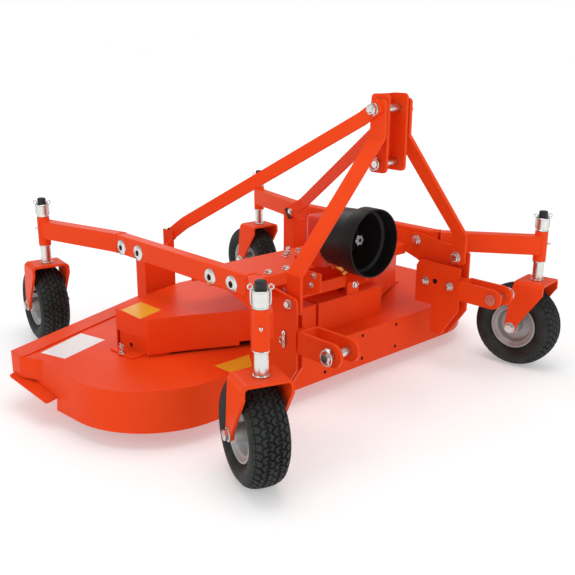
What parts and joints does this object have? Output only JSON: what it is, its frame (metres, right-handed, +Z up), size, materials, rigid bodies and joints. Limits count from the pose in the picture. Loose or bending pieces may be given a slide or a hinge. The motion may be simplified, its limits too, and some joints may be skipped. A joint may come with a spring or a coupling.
{
  "type": "finishing mower",
  "caption": "Three-point finishing mower: round-cornered pressed deck, belt covers, A-frame mast, lower clevises, driveline guard and caster wheels on splayed arms.",
  "frame": {"origin": "on the ground, under the middle of the outline box", "axes": "+Z up, tractor and hitch on the -Y side, +X to the machine's left"},
  "size_m": [1.657, 1.5306, 0.897],
  "materials": {
    "red_paint": "gloss orange-red enamel",
    "zinc_steel": "bright zinc plated",
    "gearbox_iron": "red paint on rough cast iron",
    "black_plastic": "matt black moulded",
    "blade_steel": "rolled steel",
    "rim_grey": "silver grey paint",
    "tyre_rubber": "turf tread rubber"
  },
  "bodies": {
    "frame": {"deck_shell": "red_paint", "rear_angle": "red_paint", "skid_lips": "red_paint", "belt_cover_left": "red_paint", "belt_cover_right": "red_paint", "cover_trays": "red_paint", "centre_cover": "red_paint", "side_rail_left": "red_paint", "side_rail_right": "red_paint", "front_arm_left": "red_paint", "front_arm_right": "red_paint", "rear_arm_left": "red_paint", "rear_arm_right": "red_paint", "rear_uprights": "red_paint", "cross_member": "red_paint", "hitch_cheeks_left": "red_paint", "hitch_cheeks_right": "red_paint", "lower_clevises": "red_paint", "mast_legs": "red_paint", "mast_braces": "red_paint", "gearbox_stand": "red_paint", "hitch_pins": "zinc_steel", "mast_bolt": "zinc_steel", "gearbox": "gearbox_iron", "pto_guard": "black_plastic", "spindle_housings": "gearbox_iron"},
    "floating_link": {"top_link": "red_paint", "link_pin": "zinc_steel"},
    "pto_rotor": {"pto_shaft": "zinc_steel"},
    "blade_rotor_left": {"blade_left": "blade_steel"},
    "blade_rotor_centre": {"blade_centre": "blade_steel"},
    "blade_rotor_right": {"blade_right": "blade_steel"},
    "caster_front_left": {"fork_front_left": "red_paint", "collars_front_left": "zinc_steel"},
    "wheel_front_left": {"rim_front_left": "rim_grey", "tyre_front_left": "tyre_rubber"},
    "caster_front_right": {"fork_front_right": "red_paint", "collars_front_right": "zinc_steel"},
    "wheel_front_right": {"rim_front_right": "rim_grey", "tyre_front_right": "tyre_rubber"},
    "caster_rear_left": {"fork_rear_left": "red_paint", "collars_rear_left": "zinc_steel"},
    "wheel_rear_left": {"rim_rear_left": "rim_grey", "tyre_rear_left": "tyre_rubber"},
    "caster_rear_right": {"fork_rear_right": "red_paint", "collars_rear_right": "zinc_steel"},
    "wheel_rear_right": {"rim_rear_right": "rim_grey", "tyre_rear_right": "tyre_rubber"}
  },
  "joints": [
    {"name": "top_link_swing", "type": "hinge", "parent": "frame", "child": "floating_link", "pos_m": [0, -0.5293, 0.857], "axis": [1, 0, 0], "range_deg": [-95, 20]},
    {"name": "pto_spin", "type": "hinge", "parent": "frame", "child": "pto_rotor", "pos_m": [0, -0.4373, 0.477], "axis": [0, 1, 0], "continuous": true},
    {"name": "blade_spin_left", "type": "hinge", "parent": "frame", "child": "blade_rotor_left", "pos_m": [0.49, -0.0893, 0.07], "axis": [0, 0, 1], "continuous": true},
    {"name": "blade_spin_centre", "type": "hinge", "parent": "frame", "child": "blade_rotor_centre", "pos_m": [0, 0.0967, 0.07], "axis": [0, 0, 1], "continuous": true},
    {"name": "blade_spin_right", "type": "hinge", "parent": "frame", "child": "blade_rotor_right", "pos_m": [-0.49, -0.0893, 0.07], "axis": [0, 0, 1], "continuous": true},
    {"name": "swivel_front_left", "type": "hinge", "parent": "frame", "child": "caster_front_left", "pos_m": [0.591, -0.6793, 0.33], "axis": [0, 0, 1], "continuous": true},
    {"name": "spin_front_left", "type": "hinge", "parent": "caster_front_left", "child": "wheel_front_left", "pos_m": [0.58385, -0.62779, 0.138], "axis": [-0.9905, -0.1374, 0], "continuous": true},
    {"name": "swivel_front_right", "type": "hinge", "parent": "frame", "child": "caster_front_right", "pos_m": [-0.591, -0.6793, 0.33], "axis": [0, 0, 1], "continuous": true},
    {"name": "spin_front_right", "type": "hinge", "parent": "caster_front_right", "child": "wheel_front_right", "pos_m": [-0.57364, -0.63028, 0.138], "axis": [-0.9426, 0.3338, 0], "continuous": true},
    {"name": "swivel_rear_left", "type": "hinge", "parent": "frame", "child": "caster_rear_left", "pos_m": [0.486, 0.5757, 0.33], "axis": [0, 0, 1], "continuous": true},
    {"name": "spin_rear_left", "type": "hinge", "parent": "caster_rear_left", "child": "wheel_rear_left", "pos_m": [0.49053, 0.6275, 0.138], "axis": [-0.9962, 0.0872, 0], "continuous": true},
    {"name": "swivel_rear_right", "type": "hinge", "parent": "frame", "child": "caster_rear_right", "pos_m": [-0.486, 0.5757, 0.33], "axis": [0, 0, 1], "continuous": true},
    {"name": "spin_rear_right", "type": "hinge", "parent": "caster_rear_right", "child": "wheel_rear_right", "pos_m": [-0.47742, 0.62699, 0.138], "axis": [-0.9863, 0.165, 0], "continuous": true}
  ],
  "couplings": [
    {"joint": "pto_spin", "follows": "blade_spin_centre", "ratio": 0.186},
    {"joint": "blade_spin_left", "follows": "blade_spin_centre", "ratio": 1},
    {"joint": "blade_spin_right", "follows": "blade_spin_centre", "ratio": 1}
  ]
}
